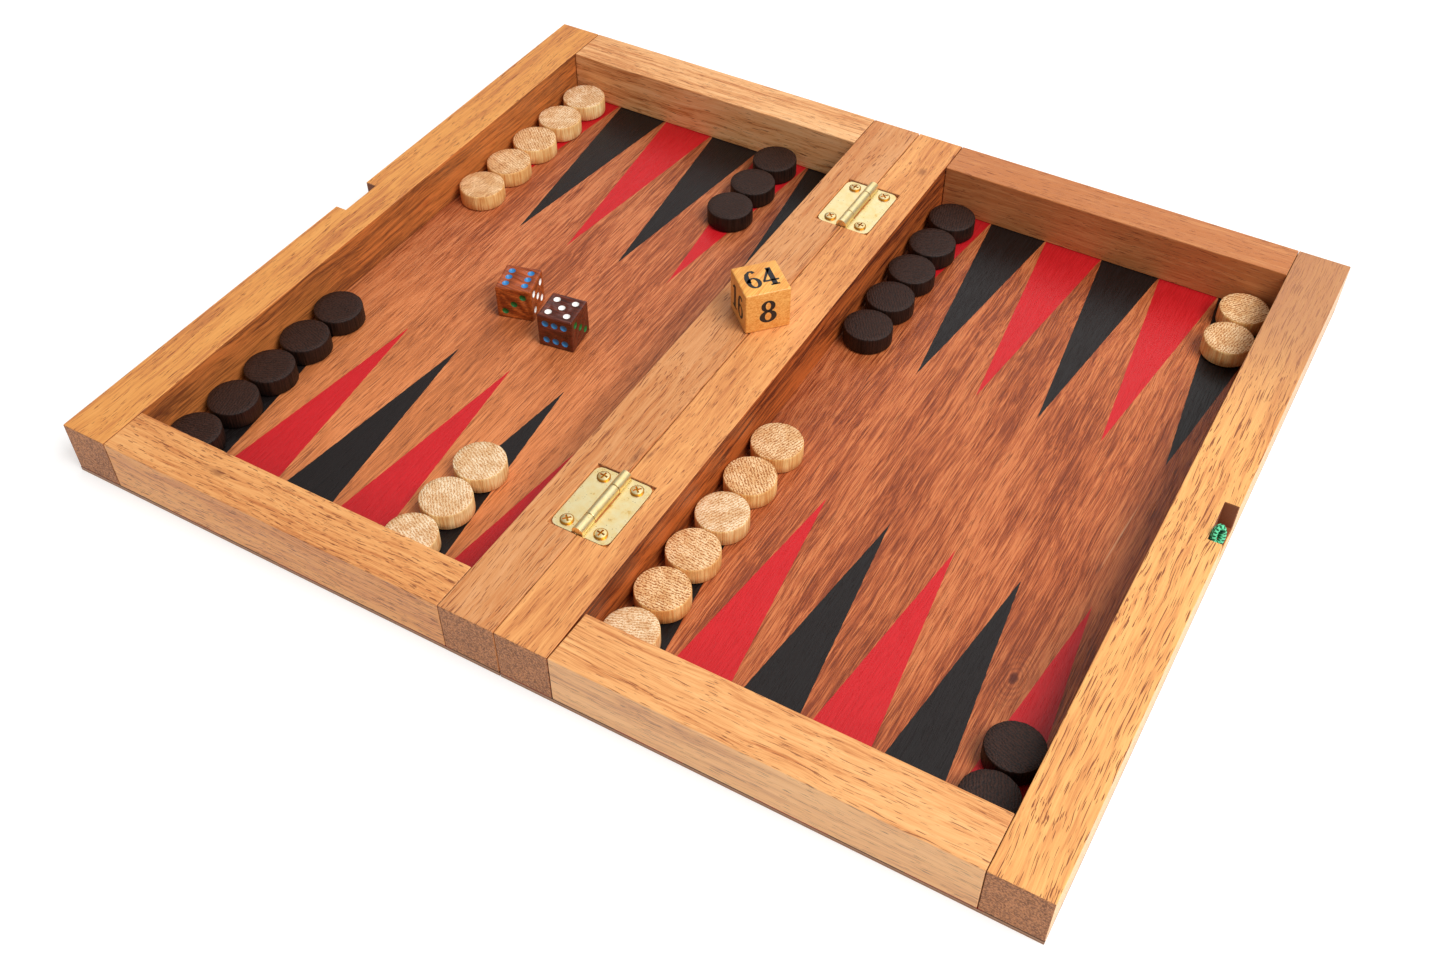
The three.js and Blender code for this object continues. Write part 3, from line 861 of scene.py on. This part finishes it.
def build_dice():
    paints = {
        "white": plain_paint("pip_white", srgb(246, 243, 238)),
        "blue": plain_paint("pip_blue", srgb(52, 132, 190)),
        "green": plain_paint("pip_green", srgb(24, 104, 40)),
    }
    orange = {"dark": srgb(120, 48, 12), "light": srgb(196, 98, 38), "top_shade": srgb(240, 226, 235)}
    brown = {"dark": srgb(60, 18, 8), "light": srgb(120, 50, 26), "top_shade": srgb(250, 245, 245)}
    woods = {
        "die_left": small_wood("orange_die_wood", X, **orange, roughness=0.34),
        "die_right": small_wood("brown_die_wood", X, **brown, roughness=0.3),
    }
    for node, wood in woods.items():
        new_piece(f"{node}_carved", die_mesh(node, wood, paints), node, wood)


# Strokes of bold serif digits in a box one unit high: each is a line of points and their widths.
STROKES = {
    "1": [([(0.28, 0.0), (0.28, 1.0)], [0.17, 0.17]), ([(0.06, 0.8), (0.26, 0.96)], [0.06, 0.1]),
          ([(0.08, 0.035), (0.48, 0.035)], [0.07, 0.07])],
    "2": [([(0.1, 0.72), (0.12, 0.84), (0.2, 0.94), (0.31, 0.96), (0.42, 0.88), (0.46, 0.74), (0.4, 0.58),
            (0.27, 0.4), (0.14, 0.22), (0.08, 0.1)],
           [0.13, 0.12, 0.08, 0.08, 0.12, 0.17, 0.15, 0.1, 0.08, 0.08]),
          ([(0.05, 0.07), (0.54, 0.07)], [0.14, 0.14])],
    "3": [([(0.11, 0.78), (0.14, 0.88), (0.27, 0.96), (0.4, 0.88), (0.42, 0.76), (0.37, 0.62),
            (0.22, 0.54)],
           [0.14, 0.1, 0.07, 0.13, 0.16, 0.13, 0.06]),
          ([(0.22, 0.54), (0.38, 0.46), (0.45, 0.29), (0.4, 0.12), (0.26, 0.04), (0.13, 0.08),
            (0.1, 0.2)],
           [0.06, 0.13, 0.18, 0.14, 0.07, 0.1, 0.14])],
    "4": [([(0.39, 0.0), (0.39, 1.0)], [0.17, 0.17]), ([(0.04, 0.3), (0.4, 0.94)], [0.07, 0.09]),
          ([(0.0, 0.28), (0.6, 0.28)], [0.08, 0.08]), ([(0.22, 0.035), (0.56, 0.035)], [0.07, 0.07])],
    "6": [([(0.43, 0.84), (0.38, 0.94), (0.27, 0.95), (0.15, 0.82), (0.1, 0.6), (0.1, 0.34)],
           [0.13, 0.1, 0.08, 0.13, 0.17, 0.17])],
    "8": [],
}
# Rings of the digits: centre, outer half sizes and inner half sizes.
RINGS = {
    "6": [((0.29, 0.3), (0.27, 0.3), (0.115, 0.225))],
    "8": [((0.29, 0.745), (0.27, 0.255), (0.1, 0.165)), ((0.29, 0.275), (0.33, 0.275), (0.125, 0.18))],
}
DIGIT_WIDTH = 0.58
DIGIT_ADVANCE = 0.62
RING_STEPS = 28
NUMBERS = {"top": "64", "front": "8", "left": "16", "right": "4", "back": "2", "bottom": "32"}
BOLD = 1.15
DIGIT_HEIGHT = 8.3 * MM
INK_THICKNESS = 0.05 * MM


def stroke_faces(bm, points, widths, place):
    """A flat ribbon along points, as wide as widths says at each one."""
    edges = []
    for index, (x, y) in enumerate(points):
        before = Vector(points[max(index - 1, 0)])
        after = Vector(points[min(index + 1, len(points) - 1)])
        direction = (after - before).normalized()
        aside = Vector((-direction.y, direction.x)) * widths[index] * BOLD / 2
        middle = Vector((x, y))
        edges.append([bm.verts.new(place(middle + aside)), bm.verts.new(place(middle - aside))])
    for (a, b), (c, d) in zip(edges, edges[1:]):
        bm.faces.new((a, b, d, c))


def ring_faces(bm, centre, outer, inner, place):
    """A flat ring between two ellipses about one centre, given by their half sizes."""
    loops = []
    for wide, tall in (outer, inner):
        loop = []
        for step in range(RING_STEPS):
            turn = math.tau * step / RING_STEPS
            offset = Vector((wide * math.cos(turn), tall * math.sin(turn)))
            loop.append(bm.verts.new(place(Vector(centre) + offset)))
        loops.append(loop)
    for step in range(RING_STEPS):
        after = (step + 1) % RING_STEPS
        bm.faces.new((loops[0][step], loops[0][after], loops[1][after], loops[1][step]))


def numbers_mesh(centre, size, turn):
    """The doubling cube's six numbers, as thin ink on its faces."""
    bm = bmesh.new()
    spin = Matrix.Rotation(turn, 3, "Z")
    for face, number in NUMBERS.items():
        normal, across = FACES[face]
        up = normal.cross(across)
        wide = (len(number) - 1) * DIGIT_ADVANCE + DIGIT_WIDTH
        for order, digit in enumerate(number):
            def place(point, shift=order * DIGIT_ADVANCE - wide / 2):
                flat = across * (point.x + shift) + up * (point.y - 0.5)
                return centre + spin @ (flat * DIGIT_HEIGHT + normal * (size / 2))
            for points, widths in STROKES[digit]:
                stroke_faces(bm, points, widths, place)
            for ring in RINGS.get(digit, []):
                ring_faces(bm, *ring, place)
    bmesh.ops.recalc_face_normals(bm, faces=bm.faces)
    return mesh_from(bm, "cube_numbers")


def build_doubling_cube():
    """The cube is smaller than the CAD one by its ink, so that the numbers lie in the CAD one's faces."""
    node = "doubling_cube"
    centre, size, turn = turned_cube(node)
    amber = {"dark": srgb(222, 140, 58), "light": srgb(250, 190, 104), "top_shade": srgb(255, 252, 228)}
    wood = small_wood("cube_wood", Y, **amber, roughness=0.36)
    waxed = rounded_cube(size - 2 * INK_THICKNESS, EASE["cube"])
    mesh = mesh_from(waxed, "doubling_cube_waxed", SMOOTH_BELOW)
    mesh.transform(Matrix.Translation(centre) @ Matrix.Rotation(turn, 4, "Z"))
    new_piece("doubling_cube_waxed", mesh, node, wood)
    ink = bpy.data.objects.new("doubling_cube_numbers", numbers_mesh(centre, size, turn))
    ink.data.materials.append(plain_paint("number_ink", srgb(26, 24, 26), roughness=0.5))
    bpy.context.scene.collection.objects.link(ink)
    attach(ink, BODY_OF[node])


# ---------------------------------------------------------------- cord
CORD_R = 0.82 * MM
BRAID = {"pitch": 0.9 * MM, "repeats": 2}
# The knot's half sizes and place along y, and how its cord winds about axis. Reach is how near to each
# pole the winding comes, as a share of the way from the middle.
KNOT = {
    "half": Vector((2.05, 3.05, 3.7)) * MM,
    "y": -4.7 * MM,
    "axis": Vector((-0.35, 0.75, -0.55)).normalized(),
    "turns": 3.2,
    "steps": 110,
    "reach": 0.75,
}
HOLE = {"below_rim": 3.6 * MM, "end_gap": 0.3 * MM}
# The tail's unravelled strands. Top is measured back from the knot's outer side at its middle, and end
# from the point below that at the cord's foot.
TAIL = {
    "strands": 4,
    "radius": 0.3 * MM,
    "spread": 0.28 * MM,
    "top": Vector((1.0, 1.5, 1.0)) * MM,
    "end": Vector((0.7, 2.1, -0.2)) * MM,
}
STRAIGHT_STEPS = 6


def tube(bm, points, radius, braid_layer, sides=10):
    """A round tube through points. The braid layer counts repeats round the tube and pitches along it."""
    rings = []
    runs = []
    run = 0.0
    side = Vector((0.3, 0.2, 1.0))
    for index, point in enumerate(points):
        before = points[max(index - 1, 0)]
        after = points[min(index + 1, len(points) - 1)]
        forward = (after - before).normalized()
        side = (side - forward * side.dot(forward)).normalized()
        other = forward.cross(side)
        if index:
            run += (point - before).length
        ring = []
        for step in range(sides):
            turn = math.tau * step / sides
            away = side * math.cos(turn) + other * math.sin(turn)
            ring.append(bm.verts.new(point + away * radius))
        rings.append(ring)
        runs.append(run)
    for index, face in enumerate(joined_rings(bm, rings)):
        row, step = divmod(index, sides)
        turns = (step, step + 1, step + 1, step)
        lengths = (runs[row], runs[row], runs[row + 1], runs[row + 1])
        for loop, turn, length in zip(face.loops, turns, lengths):
            loop[braid_layer].uv = (BRAID["repeats"] * turn / sides, length / BRAID["pitch"])


def straight(start, end):
    """Points from start to end, both included."""
    return [start.lerp(end, step / STRAIGHT_STEPS) for step in range(STRAIGHT_STEPS + 1)]


def knot_path(centre, half):
    """The cord wound round itself three times, on a squashed ball of those half sizes."""
    first = KNOT["axis"].orthogonal().normalized()
    second = KNOT["axis"].cross(first)
    points = []
    for step in range(KNOT["steps"] + 1):
        share = step / KNOT["steps"]
        level = KNOT["reach"] * (2 * share - 1)
        ring = math.sqrt(1 - level * level)
        angle = math.tau * KNOT["turns"] * share
        way = KNOT["axis"] * level + (first * math.cos(angle) + second * math.sin(angle)) * ring
        points.append(centre + Vector(w * h for w, h in zip(way, half)))
    return points


def build_cord():
    """A knot that fills the notch's corner, the cord from it into its hole, and a frayed tail."""
    node = "closure_cord"
    low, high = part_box(node)
    half = KNOT["half"]
    centre = Vector((high.x - half.x, KNOT["y"], high.z - half.z))
    bm = bmesh.new()
    layer = bm.loops.layers.uv.new("braid")
    tube(bm, knot_path(centre, half - Vector((CORD_R, CORD_R, CORD_R))), CORD_R, layer)
    hole_end = Vector((low.x + HOLE["end_gap"], centre.y, RIM - HOLE["below_rim"]))
    tube(bm, straight(hole_end, hole_end + Vector((centre.x - low.x, 0, 0))), CORD_R, layer)
    tail_top = Vector((high.x, centre.y, centre.z)) - TAIL["top"]
    tail_end = Vector((high.x, centre.y, low.z)) - TAIL["end"]
    for strand in range(TAIL["strands"]):
        aside = TAIL["spread"] * (strand - (TAIL["strands"] - 1) / 2)
        path = straight(tail_top, tail_end + Vector((0, aside, 0)))
        tube(bm, path, TAIL["radius"], layer, sides=6)
    mesh = mesh_from(bm, "closure_cord_braided", SMOOTH_BELOW)
    new_piece("closure_cord_braided", mesh, node, braid("green_braid"))


build_camera()
build_cord()
build_studio()
build_rails()
build_floors()
build_hinges()
build_checkers()
build_dice()
build_doubling_cube()
